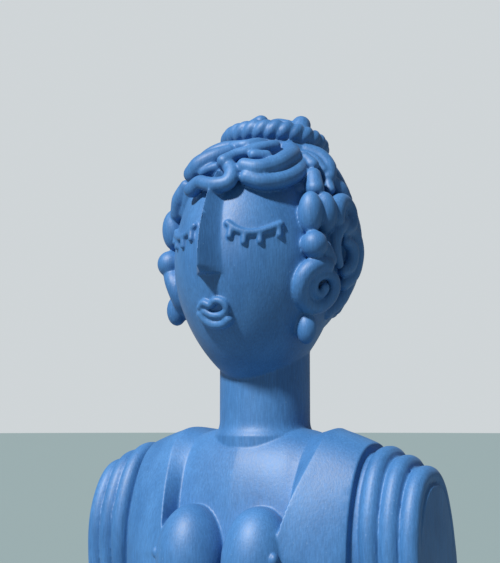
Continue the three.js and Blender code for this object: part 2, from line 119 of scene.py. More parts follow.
def smooth_line(points: Sequence[Vector], stops: int) -> list[Vector]:
    """Run a smooth line through points, in even steps.

    Args:
        points: The points that it passes, in metres.
        stops: How many steps the line has.

    Returns:
        One more point than stops, from the first point to the last.
    """
    parts = 16
    ends = [points[0] * 2 - points[1], *points, points[-1] * 2 - points[-2]]
    fine: list[Vector] = []
    for before, start, end, after in zip(ends, ends[1:], ends[2:], ends[3:]):
        knots = [0.0]
        for a, b in ((before, start), (start, end), (end, after)):
            knots.append(knots[-1] + max((b - a).length, 1e-6) ** 0.5)
        for step in range(parts):
            t = lerp(knots[1], knots[2], step / parts)
            low = [
                mix(before, start, knots[0], knots[1], t),
                mix(start, end, knots[1], knots[2], t),
                mix(end, after, knots[2], knots[3], t),
            ]
            high = [
                mix(low[0], low[1], knots[0], knots[2], t),
                mix(low[1], low[2], knots[1], knots[3], t),
            ]
            fine.append(mix(high[0], high[1], knots[1], knots[2], t))
    fine.append(points[-1].copy())
    return even(fine, stops)


def mix(a: Vector, b: Vector, low: float, high: float, t: float) -> Vector:
    """Give the point between a, at the knot low, and b, at the knot high."""
    return a * ((high - t) / (high - low)) + b * ((t - low) / (high - low))


def even(points: Sequence[Vector], stops: int) -> list[Vector]:
    """Space a line's points evenly.

    Args:
        points: A fine line.
        stops: How many even steps it gets.

    Returns:
        One more point than stops.
    """
    reach = [0.0]
    for a, b in zip(points, points[1:]):
        reach.append(reach[-1] + (b - a).length)
    spaced: list[Vector] = []
    at = 0
    for stop in range(stops + 1):
        goal = reach[-1] * stop / stops
        while at < len(points) - 2 and reach[at + 1] < goal:
            at += 1
        span = max(reach[at + 1] - reach[at], 1e-9)
        share = min(max((goal - reach[at]) / span, 0.0), 1.0)
        spaced.append(points[at].lerp(points[at + 1], share))
    return spaced


def roll(points: Sequence[Vector], radii: Sequence[float]) -> bpy.types.Object:
    """Model a roll of clay along a smooth line, round at both ends.

    Args:
        points: Places that its middle line passes, in metres. Its ends reach past the first and
            the last of them by their own radius.
        radii: Its radius from end to end, in metres.

    Returns:
        The roll as a closed mesh.
    """
    fewest_stops, longest_cap, thinnest = 16, 0.45, 0.05 * MM
    first = points[0] + (points[0] - points[1]).normalized() * radii[0]
    last = points[-1] + (points[-1] - points[-2]).normalized() * radii[-1]
    points = [first, *points, last]
    length = sum((b - a).length for a, b in zip(points, points[1:]))
    stops = max(fewest_stops, round(length / MM))
    line = smooth_line(points, stops)
    caps = [min(radius / length, longest_cap) for radius in (radii[0], radii[-1])]
    deselect()
    bpy.ops.curve.primitive_bezier_curve_add(enter_editmode=False)
    strand = bpy.context.object
    strand.data.dimensions = "3D"
    strand.data.bevel_depth = 1.0
    strand.data.bevel_resolution = 5
    strand.data.use_fill_caps = True
    strand.data.splines.clear()
    spline = strand.data.splines.new("POLY")
    spline.points.add(stops)
    for stop, place in enumerate(line):
        share = stop / stops
        left = min(share / caps[0], (1 - share) / caps[1], 1.0)
        rounding = math.sqrt(max(0.0, 1 - (1 - left) ** 2))
        spline.points[stop].co = (*place, 1.0)
        spline.points[stop].radius = max(along(radii, share) * rounding, thinnest)
    strand.location = (0, 0, 0)
    pick([strand])
    bpy.ops.object.convert(target="MESH")
    return bpy.context.object


def ball(centre: Vector, radii: Vector, sides: int = 48) -> bpy.types.Object:
    """Model an upright ellipsoid.

    Args:
        centre: Its middle, in metres.
        radii: Its three radii, in metres.
        sides: How many sides it has round about.

    Returns:
        The ellipsoid as a closed mesh.
    """
    deselect()
    bpy.ops.mesh.primitive_uv_sphere_add(
        segments=sides, ring_count=sides // 2, radius=1, location=centre
    )
    bpy.context.object.scale = radii
    bpy.ops.object.transform_apply(location=True, rotation=False, scale=True)
    return bpy.context.object


def grid(
    columns: int, rows: int, place: Callable[[float, float, bool], Vector]
) -> bpy.types.Object:
    """Model a slab that follows a surface.

    A cube is cut across and along by bisecting it, and each vertex is then put in its place.

    Args:
        columns: How many strips it has across.
        rows: How many steps it has along.
        place: Gives a vertex's place from its share across, its share along and whether it
            is on the outer face.

    Returns:
        The slab as a closed mesh.
    """
    deselect()
    bpy.ops.mesh.primitive_cube_add(size=1, location=(0.5, 0.5, 0))
    slab = bpy.context.object
    bpy.ops.object.transform_apply(location=True, rotation=False, scale=False)
    bpy.ops.object.mode_set(mode="EDIT")
    for normal, count in (((1, 0, 0), columns), ((0, 1, 0), rows)):
        for cut in range(1, count):
            bpy.ops.mesh.select_all(action="SELECT")
            bpy.ops.mesh.bisect(plane_co=[cut / count * n for n in normal], plane_no=normal)
    bpy.ops.object.mode_set(mode="OBJECT")
    for vertex in slab.data.vertices:
        across, step, height = vertex.co
        vertex.co = place(across, step, height > 0)
    face_out(slab)
    return slab


def face_out(piece: bpy.types.Object) -> None:
    """Merge a mesh's doubles and turn its faces outwards.

    Args:
        piece: The closed mesh.
    """
    pick([piece])
    bpy.ops.object.mode_set(mode="EDIT")
    bpy.ops.mesh.select_all(action="SELECT")
    bpy.ops.mesh.remove_doubles(threshold=1e-6)
    bpy.ops.mesh.normals_make_consistent(inside=False)
    bpy.ops.object.mode_set(mode="OBJECT")


@dataclass
class Torso:
    """The trunk with its bodice, sleeves and breasts."""

    width: float = 212 * MM
    shoulder_height: float = 120 * MM
    shoulder_drop: float = 26 * MM
    shoulder_rounding: float = 2.6
    collar_rise: float = 4 * MM
    collar_reach: tuple[float, float] = (26 * MM, 52 * MM)
    chest_depth: float = 44 * MM
    chest_fullness: float = 3.3
    arm_depth: float = 28 * MM
    arm_fullness: float = 2.5
    arm_start: float = 1.8
    fullness_fade: float = 2.6
    back_share: float = 0.86
    bodice_thickness: float = 7 * MM
    bodice_edge_rise: float = 14 * MM
    bodice_half_width: float = 70 * MM
    bodice_wall: tuple[float, float] = (0.6 * MM, 11 * MM)
    bodice_columns: int = 14
    bodice_rows: int = 110
    sleeve_rolls: int = 3
    sleeve_roll_pitch: float = 10.5 * MM
    sleeve_roll_radius: float = 5.6 * MM
    sleeve_roll_lean: float = 3 * MM
    sleeve_roll_lift: float = 1 * MM
    sleeve_inset: float = 3.6 * MM
    sleeve_tuck: float = 0.3
    tuck_below: float = 0.66
    tuck_height: float = 60 * MM
    tuck_across: tuple[float, float] = (60 * MM, 85 * MM)
    breast_spacing: float = 42 * MM
    breast_radii: Vector = field(default_factory=lambda: Vector((20, 21, 31)) * MM)
    nipple_radii: Vector = field(default_factory=lambda: Vector((2.8, 2.8, 3.6)) * MM)

    def skin(self, x: float, angle: float, rise: float = 0.0) -> Vector:
        """Give a place on the torso.

        Args:
            x: How far across it is, in metres.
            angle: Degrees from the front of the underside over the shoulder to the back.
            rise: How far it stands out of the skin, in metres.

        Returns:
            The place.
        """
        share = min(abs(x) / (self.width / 2), 1.0)
        collar = 1 - ease(abs(x), *self.collar_reach)
        top = self.shoulder_height - self.shoulder_drop * share**self.shoulder_rounding
        top += self.collar_rise * collar
        front = lerp(self.chest_depth, self.arm_depth, share**self.arm_start)
        fade = min(share * self.fullness_fade, 1)
        fullness = lerp(self.chest_fullness, self.arm_fullness, fade)
        c, s = math.cos(math.radians(angle)), math.sin(math.radians(angle))
        depth = front if c > 0 else front * self.back_share
        y = -depth * math.copysign(abs(c) ** (2 / fullness), c)
        z = top * math.copysign(abs(s) ** (2 / fullness), s)
        normal = Vector(
            (
                0,
                math.copysign(abs(y / depth) ** (fullness - 1), y) / depth,
                math.copysign(abs(z / top) ** (fullness - 1), z) / top,
            )
        )
        low = ease(self.shoulder_height * self.tuck_below - z, 0, self.tuck_height)
        if y < 0:
            y *= 1 - self.sleeve_tuck * low * ease(abs(x), *self.tuck_across)
        return Vector((x, y, z)) + normal.normalized() * rise

    def trunk(self) -> bpy.types.Object:
        """Model the trunk with the stumps of both arms.

        Returns:
            The trunk as a closed mesh.
        """
        deselect()
        bpy.ops.mesh.primitive_cylinder_add(vertices=160, radius=1, depth=1, end_fill_type="TRIFAN")
        trunk = bpy.context.object
        bpy.ops.object.mode_set(mode="EDIT")
        bpy.ops.mesh.select_all(action="SELECT")
        bpy.ops.transform.rotate(value=math.pi / 2, orient_axis="Y", center_override=(0, 0, 0))
        stations = 60
        for cut in range(1, stations):
            bpy.ops.mesh.select_all(action="SELECT")
            bpy.ops.mesh.bisect(plane_co=(cut / stations - 0.5, 0, 0), plane_no=(1, 0, 0))
        bpy.ops.object.mode_set(mode="OBJECT")
        for vertex in trunk.data.vertices:
            fullness = math.hypot(vertex.co.y, vertex.co.z)
            angle = math.degrees(math.atan2(vertex.co.z, -vertex.co.y))
            rim = self.skin(vertex.co.x * self.width, angle)
            vertex.co = Vector((rim.x, rim.y * fullness, rim.z * fullness))
        face_out(trunk)
        return trunk

    def opening(self, angle: float) -> float:
        """Give half the width of the bodice's opening.

        Args:
            angle: Degrees round the torso, as skin takes them.

        Returns:
            A round lower end under the breasts, a wide opening over the chest and a round
            neckline behind, in metres.
        """
        full = self.bodice_half_width
        under, low, shoulder, nape = 6, 22, 90, 116
        narrow, wide, behind = 0.46, 0.585, 0.58

        def bow(share: float) -> float:
            return math.sqrt(max(0.0, 1 - share * share))

        if angle < low:
            return full * narrow * bow((low - angle) / (low - under))
        if angle < shoulder:
            return full * lerp(narrow, wide, ease(angle, -20, 75))
        return full * behind * bow((angle - shoulder) / (nape - shoulder))

    def bodice_half(self, side: Side) -> bpy.types.Object:
        """Model one half of the bodice, over the shoulder from the front to the back seam.

        Its inner wall slopes up from the skin to a ridge, and its face falls from there to
        its outer edge.

        Args:
            side: Which half.

        Returns:
            The half as a closed mesh.
        """
        wall = 2 / self.bodice_columns
        outer_edge = self.bodice_thickness * 0.7

        def place(across: float, step: float, outer: bool) -> Vector:
            angle = lerp(-8, 188, step)
            slope = lerp(*self.bodice_wall, ease(angle, 16, 75))
            foot = self.opening(angle) - MM - 0.3 * slope
            ridge = lerp(self.bodice_edge_rise, self.bodice_thickness, ease(angle, 22, 60))
            if across < wall:
                x = foot + slope * across / wall
                rise = ridge * across / wall
            else:
                share = (across - wall) / (1 - wall)
                x = lerp(foot + slope, self.bodice_half_width, share)
                rise = lerp(ridge, outer_edge, share)
            spot = self.skin(x, angle, rise if outer else -self.bodice_thickness)
            spot.x *= side.value
            return spot

        return grid(self.bodice_columns, self.bodice_rows, place)

    def sleeve(self, side: Side) -> list[bpy.types.Object]:
        """Model the rolls of a puffed sleeve, side by side out to the cut of the arm.

        Args:
            side: Which sleeve.

        Returns:
            The rolls.
        """
        rolls: list[bpy.types.Object] = []
        for number in range(self.sleeve_rolls):
            foot = self.width / 2 - self.sleeve_inset - number * self.sleeve_roll_pitch
            points: list[Vector] = []
            for angle in range(-14, 195, 8):
                x = foot - self.sleeve_roll_lean * max(0.0, math.sin(math.radians(angle)))
                points.append(self.skin(side.value * x, angle, self.sleeve_roll_lift))
            rolls.append(roll(points, [self.sleeve_roll_radius] * 2))
        return rolls

    def breast(self, side: Side) -> list[bpy.types.Object]:
        """Model a breast and its nipple, which points well outwards.

        Args:
            side: Which breast.

        Returns:
            The breast and the nipple.
        """
        across = side.value * self.breast_spacing / 2
        middle = Vector((across, -self.chest_depth * 0.99, self.shoulder_height * 0.43))
        towards = Vector((side.value * 0.80, -0.56, 0.15)) * self.breast_radii
        return [
            ball(middle, self.breast_radii, 64),
            ball(middle + towards, self.nipple_radii, 16),
        ]

    def build(self) -> list[bpy.types.Object]:
        """Model the whole torso.

        Returns:
            Its forms.
        """
        forms = [self.trunk()]
        for side in Side:
            forms += [self.bodice_half(side), *self.sleeve(side), *self.breast(side)]
        return forms


@dataclass
class Head:
    """The neck and the plain egg of the head, with its face."""

    neck_radius: float = 26 * MM
    neck_flare: float = 3 * MM
    neck_foot: float = 120 * MM
    centre: Vector = field(default_factory=lambda: Vector((0, -9, 217)) * MM)
    radii: Vector = field(default_factory=lambda: Vector((45, 52.5, 66)) * MM)
    chin_drop: float = 5 * MM
    chin_taper: float = 0.2
    nose_ridge: float = 12.6 * MM
    nose_half_width: float = 9.5 * MM
    nose_top: float = 0.74
    nose_foot: float = -0.14

    def slim(self, share: float) -> float:
        """Give how much narrower the head is towards the chin, by height as a share."""
        return 1 - self.chin_taper * min(share, 0.0) ** 2

    def reach(self, height: float) -> float:
        """Give how far the head reaches above or below its middle."""
        return self.radii.z + (self.chin_drop if height < 0 else 0.0)

    def face(self, x: float, height: float, lift: float = 0.0) -> Vector:
        """Give a place on the front of the face.

        Args:
            x: How far across it is, in metres.
            height: How far it is above the middle of the head, in metres.
            lift: How far it stands out forwards, in metres.

        Returns:
            The place.
        """
        share = height / self.reach(height)
        slim = self.slim(share)
        rest = 1 - (x / (self.radii.x * slim)) ** 2 - share**2
        y = self.centre.y - self.radii.y * slim * math.sqrt(max(rest, 0.0)) - lift
        return Vector((x, y, self.centre.z + height))

    def egg(self) -> bpy.types.Object:
        """Model the head: an egg that narrows to the chin.

        Returns:
            The egg as a closed mesh.
        """
        egg = ball(Vector((0, 0, 0)), Vector((1, 1, 1)), 160)
        for vertex in egg.data.vertices:
            slim = self.slim(vertex.co.z)
            x, y, z = vertex.co
            vertex.co = self.centre + Vector(
                (x * self.radii.x * slim, y * self.radii.y * slim, z * self.reach(z))
            )
        return egg

    def neck(self) -> bpy.types.Object:
        """Model the neck with a small round fillet where it grows out of the chest.

        Returns:
            The neck as a closed mesh.
        """
        deselect()
        foot, top = self.neck_foot * 0.75, self.centre.z
        bpy.ops.mesh.primitive_cylinder_add(vertices=128, radius=1, depth=1, end_fill_type="TRIFAN")
        neck = bpy.context.object
        bpy.ops.object.mode_set(mode="EDIT")
        stations = 120
        for cut in range(1, stations):
            bpy.ops.mesh.select_all(action="SELECT")
            bpy.ops.mesh.bisect(plane_co=(0, 0, cut / stations - 0.5), plane_no=(0, 0, 1))
        bpy.ops.object.mode_set(mode="OBJECT")
        for vertex in neck.data.vertices:
            z = lerp(foot, top, vertex.co.z + 0.5)
            open_share = min(max((z - self.neck_foot) / (self.neck_flare * 3), 0.0), 1.0)
            radius = self.neck_radius + self.neck_flare * (1 - open_share) ** 3
            vertex.co = Vector((vertex.co.x * radius, vertex.co.y * radius, z))
        return neck

    def nose(self) -> bpy.types.Object:
        """Model the long straight nose, whose flanks run softly into the face.

        Returns:
            The nose as a closed mesh.
        """
        top, foot = self.radii.z * self.nose_top, self.radii.z * self.nose_foot
        # How high the ridge still is at the tip, how much it gains from there, and how fast.
        blunt, gain, reach = 0.72, 0.28, 0.06

        def place(across: float, step: float, outer: bool) -> Vector:
            height = lerp(foot, top, step)
            half = lerp(self.nose_half_width, self.nose_half_width * 0.5, step)
            side = across * 2 - 1
            x = side * half
            if not outer:
                return self.face(x, height, -self.radii.x * 0.2)
            ridge = self.nose_ridge * (1 - 0.3 * step)
            ridge *= min(1.0, blunt + step / reach * gain)
            flank = max(0.0, 1 - abs(side)) ** 1.3
            return self.face(x, height, ridge * min(flank, 0.94 + 0.06 * flank) - 0.4 * MM)

        return grid(28, 60, place)

    def stroke(
        self, places: Sequence[tuple[float, float]], radius: float, lift: float
    ) -> bpy.types.Object:
        """Model a raised stroke on the face.

        Args:
            places: Its points as x and height, in millimetres.
            radius: Its radius, in millimetres.
            lift: How far its middle stands out of the skin, in millimetres.

        Returns:
            The stroke as a closed mesh.
        """
        points = [self.face(x * MM, height * MM, lift * MM) for x, height in places]
        return roll(points, [radius * MM] * 2)

    def eye(self, side: Side) -> list[bpy.types.Object]:
        """Model a closed eye: a sagging lid with short straight lashes under it.

        Args:
            side: Which eye.

        Returns:
            The strokes.
        """
        inner, outer, height, sag = 10.5, 34.0, 18.0, 5.5
        lashes, lash_length = 4, 5.4

        def lid_height(x: float) -> float:
            share = (x - inner) / (outer - inner) * 2 - 1
            return height - sag * (1 - share * share)

        spots = [lerp(inner, outer, step / 6) for step in range(7)]
        strokes = [self.stroke([(side.value * x, lid_height(x)) for x in spots], 1.9, 0.8)]
        for number in range(lashes):
            x = lerp(inner, outer, 0.1 + number * 0.86 / (lashes - 1))
            lean = (number - 1) * 0.4
            foot = lid_height(x) - lash_length
            lash = [(side.value * x, lid_height(x)), (side.value * (x + lean), foot)]
            strokes.append(self.stroke(lash, 1.8, 0.8))
        return strokes

    def mouth(self) -> list[bpy.types.Object]:
        """Model small lips laid like a cord: a bow that folds back, and a lower lip.

        Returns:
            The two cords and the ground between them.
        """
        bow = [
            (-8.5, -27),
            (-5, -24.8),
            (-1, -26.3),
            (2.5, -23.8),
            (6.8, -24.8),
            (8.3, -28.3),
            (4.5, -31.6),
            (-1.5, -31.4),
            (-6, -29),
        ]
        lower = [(-9, -30.5), (-6, -34), (-1, -36.3), (4.5, -36), (8, -33.8)]
        ground = [(-4, -30.5), (5, -30.5)]
        return [
            self.stroke(bow, 2.0, 1.4),
            self.stroke(lower, 2.9, 1.1),
            self.stroke(ground, 2.4, -1),
        ]

    def build(self) -> list[bpy.types.Object]:
        """Model the neck, the head and the face.

        Returns:
            Their forms.
        """
        forms = [self.egg(), self.neck(), self.nose(), *self.mouth()]
        for side in Side:
            forms += self.eye(side)
        return forms


@dataclass
class Hair:
    """The rolls, beads and snails of hair, and the twisted band."""

    head: Head
    centre: Vector = field(default_factory=lambda: Vector((0, 8, 227.5)) * MM)
    radii: Vector = field(default_factory=lambda: Vector((48, 48.5, 59)) * MM)
    pole: Vector = field(default_factory=lambda: Vector((0, 0, 222.3)) * MM)
    band_radius: float = 27 * MM
    band_thickness: float = 4.9 * MM
    band_centre: Vector = field(default_factory=lambda: Vector((0, 12, 290)) * MM)
    band_tilt: float = 10.0
    band_twists: int = 27
    snail_rise: float = 1.5

    def depth(self, direction: Vector, centre: Vector, radii: Vector) -> float:
        """Give how far an ellipsoid's skin is from the pole.

        Args:
            direction: The unit direction from the pole.
            centre: The ellipsoid's middle.
            radii: Its radii.

        Returns:
            The distance, in metres.
        """
        towards = Vector(d / r for d, r in zip(direction, radii))
        start = Vector(s / r for s, r in zip(self.pole - centre, radii))
        a, b = towards.dot(towards), start.dot(towards)
        return (-b + math.sqrt(b * b - a * (start.dot(start) - 1))) / a

    def spot(self, azimuth: float, elevation: float, lift: float = 0.0) -> Vector:
        """Give a place on the head or on its hair, whichever stands further out.

        Args:
            azimuth: Degrees round from the nose towards her left.
            elevation: Degrees up.
            lift: How far it stands out, in millimetres.

        Returns:
            The place.
        """
        turn, tilt = math.radians(azimuth), math.radians(elevation)
        level = math.cos(tilt)
        direction = Vector((math.sin(turn) * level, -math.cos(turn) * level, math.sin(tilt)))
        skin = self.depth(direction, self.head.centre, self.head.radii)
        skin *= self.head.slim(direction.z)
        hair = self.depth(direction, self.centre, self.radii)
        return self.pole + direction * (max(skin, hair) + lift * MM)

    def lock(self, places: Places, radii: Sequence[float]) -> bpy.types.Object:
        """Model a roll of hair.

        Args:
            places: Its points as azimuth, elevation and lift.
            radii: Its radius from end to end, in millimetres.

        Returns:
            The roll.
        """
        return roll([self.spot(*place) for place in places], [radius * MM for radius in radii])

    def bead(
        self, azimuth: float, elevation: float, lift: float, width: float, height: float
    ) -> bpy.types.Object:
        """Model a bead of hair on the head.

        Args:
            azimuth: Degrees round from the nose towards her left.
            elevation: Degrees up.
            lift: How far its middle stands out, in millimetres.
            width: Its width, in millimetres.
            height: Its height, in millimetres.

        Returns:
            The bead.
        """
        radii = Vector((width, width, height)) * (MM / 2)
        return ball(self.spot(azimuth, elevation, lift), radii, 32)

    def snail(
        self,
        azimuth: float,
        elevation: float,
        winding: Sequence[float],
        thickness: Sequence[float],
        turns: float,
        start: float,
        hand: int,
        lift: float,
    ) -> bpy.types.Object:
        """Model a snail of hair, lying flat on the head.

        Args:
            azimuth: Degrees round to its middle.
            elevation: Degrees up to its middle.
            winding: How far its roll is from its middle, from end to end, in millimetres.
            thickness: Its roll's radius from end to end, in millimetres.
            turns: How often it winds.
            start: Where its outer end lies, in degrees.
            hand: 1 if it turns towards her left at the top, -1 if towards her right.
            lift: How far its middle stands out, in millimetres.

        Returns:
            The snail.
        """
        middle = self.spot(azimuth, elevation, lift)
        out = (middle - self.pole).normalized()
        turn = math.radians(azimuth)
        side = Vector((math.cos(turn), math.sin(turn), 0))
        up = out.cross(side).normalized()
        stops_per_turn, sinking = 14, 0.12
        stops = math.ceil(turns * stops_per_turn)
        points: list[Vector] = []
        for stop in range(stops + 1):
            share = stop / stops
            angle = math.radians(start - hand * 360 * turns * share)
            radius = along(winding, share) * MM
            rise = out * ((self.snail_rise * share**2 - radius / MM * sinking) * MM)
            flat = side * (math.cos(angle) * radius) + up * (math.sin(angle) * radius)
            points.append(middle + flat + rise)
        return roll(points, [radius * MM for radius in thickness])

    def fringe(self) -> list[bpy.types.Object]:
        """Model the leaf, the knotted loop and the great swirl over the forehead.

        Returns:
            The rolls.
        """
        return [
            # A low bed under the fringe, so that no roll hangs free.
            self.lock(
                [(-48, 28, 0), (-36, 39, 0), (-20, 43, 1), (4, 44, 1), (28, 43, 1), (52, 50, 1)],
                [4, 5, 5, 5, 5, 5],
            ),
            self.lock(
                [(-34, 56, 0), (-14, 56, 1), (12, 57, 1), (44, 63, 1), (76, 62, 0)],
                [5, 6, 6, 6, 6],
            ),
            # The leaf, a fat roll with a thinner one on it, and the pad beside it.
            self.lock([(0, 55, 6), (-8, 50, 7), (-16, 45, 8), (-24, 41, 7)], [3.6, 5, 5.8, 5]),
            self.lock(
                [(2, 62, 5.5), (-9, 59, 6.5), (-20, 54, 7), (-31, 47, 6.5)],
                [3.2, 4.2, 4.5, 3.8],
            ),
            self.lock(
                [(1, 59, 7), (13, 58, 7.5), (23, 62, 7.5), (31, 66, 6)],
                [2.8, 3.4, 3.3, 2.7],
            ),
            # The knot, whose strand runs up under the band and whose loop hangs in front.
            self.lock(
                [(4, 44, 8), (9, 50, 7), (17, 53, 7), (28, 58, 7), (40, 63, 7)],
                [4.7, 3.4, 3.3, 3.6, 3.9],
            ),
            self.lock(
                [
                    (5, 44, 6),
                    (10, 38, 6),
                    (9, 32.5, 5.5),
                    (2, 31, 5.5),
                    (-5, 32.5, 5.5),
                    (-11, 34, 5.5),
                    (-17, 31.5, 5),
                ],
                [3.9, 4.1, 4.4, 4.5, 4.1, 4.3, 4.8],
            ),
            self.lock([(-13, 41, 5.5), (-7, 42.5, 5.5), (0, 44, 5)], [3, 2.8, 2.8]),
            # The drop beside the temple.
            self.lock([(-40, 40, 5.5), (-46, 33, 5.5), (-52, 26, 4.5)], [3.2, 4.8, 4.2]),
            # The great swirl: two tubes that turn round a small eye.
            self.lock(
                [
                    (66, 69, 6),
                    (60, 61, 7),
                    (47, 52, 7.5),
                    (35, 44, 7.5),
                    (25, 40.5, 7.5),
                    (17, 42, 6.5),
                ],
                [4.4, 4.9, 5.2, 5.2, 5, 4.6],
            ),
            self.lock(
                [(68, 57, 4), (54, 46, 4.5), (40, 38, 4.5), (28, 35, 4.5), (19, 36.5, 4.5)],
                [5, 5.2, 5, 4.8, 4.3],
            ),
            self.lock([(22, 49, 8), (31, 50.5, 7.5)], [3.2, 3.4]),
            # The strands in the swirl's shade.
            self.lock([(76, 66, 5), (84, 58, 7), (86, 50, 6.5)], [2.2, 2.9, 3]),
            self.lock([(84, 66, 0), (72, 50, 0), (60, 42, -1)], [6, 5, 4]),
        ]

    def side_curls(self, side: Side) -> list[bpy.types.Object]:
        """Model the hair down one side of the face.

        Args:
            side: Which side.

        Returns:
            A chain of beads beside the cheek that ends in a snail and a drop, and behind it
            a hook, a crossed leaf, nested drops and strands from the band.
        """
        s = side.value
        # How much lower the bulbs, the bead, the snail and the drop hang on her right.
        bulbs, pearl, coil, drop = (4, 6, 0, -14) if side is Side.RIGHT else (0, 0, 0, 0)
        winding = (12.5, 12.5, 12, 11, 7, 5, 4.2, 2.6)
        thickness = (4.6, 5.4, 5.4, 5, 4, 3.4, 3.1, 2.5)

        def strand(places: Places, radii: Sequence[float]) -> bpy.types.Object:
            return self.lock([(s * azimuth, *rest) for azimuth, *rest in places], radii)

        return [
            # A low bed along the hairline, so that no bead hangs free.
            strand([(76, 50, -1), (72, 24, -1), (70, 0, -1), (72, -24, -1)], [5, 6, 6, 5]),
            # The cap, the pear and the double bulb.
            strand([(72, 58.5, 7.5), (74, 53, 7.5)], [3, 4.8]),
            strand([(70, 45.5, 7.5), (67, 37, 7)], [4.4, 6]),
            self.bead(s * 59, 21 - bulbs, 5.5, 14, 24),
            self.bead(s * 71, 22 - bulbs, 7, 14, 24),
            # The hook behind the bulb.
            strand(
                [
                    (80, 19, 6.5),
                    (82, 26, 7.5),
                    (90, 30, 7),
                    (98, 26, 6),
                    (98, 18, 5.5),
                    (89, 13, 5),
                ],
                [5, 5.6, 4.8, 4.4, 3.8, 3],
            ),
            strand([(90, 24, 6), (91, 20, 5)], [2.8, 2.4]),
            # The bead, the snail and the drop.
            self.bead(s * 59.5, 2 - pearl, 5.5, 15, 15.5),
            strand([(67, 0 - pearl, 5), (72, -6, 4.5)], [5.4, 5.6]),
            self.snail(
                s * 66.5, -22 - coil, winding, thickness, turns=1.8, start=80, hand=-s, lift=5.5
            ),
            self.bead(s * 62, -45 - drop, 8.5, 12, 18),
            # The crossed leaf and the nested drops behind them.
            strand([(94, 20, 4.5), (81, 12, 6.5), (79, 4, 5.5), (86, -8, 4)], [2.8, 4, 3.9, 2.8]),
            strand(
                [(92, 14, 3), (103, 14, 3), (110, 4, 3), (108, -10, 3), (98, -20, 3)],
                [3.6, 4.6, 5, 4.8, 3.6],
            ),
            strand([(93, 8, 3.5), (101, 3, 4), (100, -7, 4), (94, -12, 3)], [3, 3.8, 3.8, 3]),
            strand([(112, -14, 0), (108, -29, 0), (97, -42, 0)], [5, 5.4, 4.4]),
            strand([(112, 32, 0), (118, 14, -1), (120, -4, -1)], [5.4, 6.6, 6]),
            # The strands that come down from the band.
            strand([(97, 46, 3), (102, 40, 3.5), (106, 34, 3)], [4, 5, 4.4]),
            strand([(99, 56, 3), (90, 47, 4), (87, 39, 4)], [2.8, 3.4, 3]),
            strand([(92, 66, 5), (97, 59, 6.5), (95, 52, 6.5), (90, 46, 5)], [5, 5.8, 5.6, 4]),
            strand([(114, 64, 1), (114, 52, 1), (118, 40, 0)], [6, 7, 6]),
        ]

    def back(self) -> list[bpy.types.Object]:
        """Model the wavy rolls that hang down the back of the head to the nape.

        Returns:
            The rolls.
        """
        rolls: list[bpy.types.Object] = []
        count, wave, sunk = 7, 4.0, -2.5
        for number in range(count):
            azimuth = lerp(128, 232, number / (count - 1))
            places = [
                (azimuth + (wave if step % 2 else -wave), elevation, sunk)
                for step, elevation in enumerate((68, 44, 16, -12, -36))
            ]
            rolls.append(self.lock(places, [6, 8, 8, 7, 4.5]))
        return rolls

    def ring(self, degrees: float, radius: float, rise: float = 0.0) -> Vector:
        """Give a place on the tilted ring of the band.

        Args:
            degrees: Degrees round from the front towards her left.
            radius: How far it is from the ring's middle, in metres.
            rise: How far it is above the ring, in metres.

        Returns:
            The place.
        """
        turn = math.radians(degrees)
        flat = Vector((math.sin(turn) * radius, -math.cos(turn) * radius, rise))
        return Matrix.Rotation(-math.radians(self.band_tilt), 3, "X") @ flat + self.band_centre

    def band(self) -> bpy.types.Object:
        """Model the twisted band: two strands laid round each other.

        Returns:
            The band as a closed mesh.
        """
        deselect()
        bpy.ops.mesh.primitive_torus_add(
            major_segments=320, minor_segments=28, major_radius=1, minor_radius=0.3
        )
        groove, swell, roundness, upright = 0.84, 0.3, 0.7, 1.15
        band = bpy.context.object
        for vertex in band.data.vertices:
            x, y, z = vertex.co
            section = math.atan2(z, math.hypot(x, y) - 1)
            turn = math.atan2(x, -y)
            lobe = abs(math.cos(section - turn * self.band_twists / 2))
            thickness = self.band_thickness * (groove + swell * lobe**roundness)
            radius = self.band_radius + math.cos(section) * thickness
            rise = math.sin(section) * thickness * upright
            vertex.co = self.ring(math.degrees(turn), radius, rise)
        face_out(band)
        return band

    def crown(self) -> list[bpy.types.Object]:
        """Model the knot of hair inside the band: a low mound with loops.

        Returns:
            The mound and its loops.
        """

        def loop(places: Places, radii: Sequence[float]) -> bpy.types.Object:
            points = [self.ring(turn, reach * MM, rise * MM) for turn, reach, rise in places]
            return roll(points, [radius * MM for radius in radii])

        return [
            ball(self.ring(0, 0, -9 * MM), Vector((31, 31, 16)) * MM, 64),
            loop([(-110, 18, 2), (-62, 16, 7), (-10, 14, 10)], [5, 5.4, 4.6]),
            loop([(-6, 8, 8), (24, 7, 10.5), (60, 13, 9)], [3.6, 4.2, 4]),
            loop([(74, 21, 0), (78, 19, 6), (84, 18, 11)], [6.6, 6.4, 5.2]),
            loop(
                [(96, 19, 3), (140, 19, 8), (180, 18, 9), (220, 19, 8), (256, 18, 3)],
                [5, 6, 6, 6, 5],
            ),
            loop([(-60, 6, 6), (-150, 7, 10), (150, 6, 7)], [4, 5, 4]),
        ]

    def build(self) -> list[bpy.types.Object]:
        """Model all the hair.

        Returns:
            Its forms.
        """
        forms = [ball(self.centre, self.radii, 128), *self.fringe(), *self.back()]
        forms += [self.band(), *self.crown()]
        for side in Side:
            forms += self.side_curls(side)
        return forms


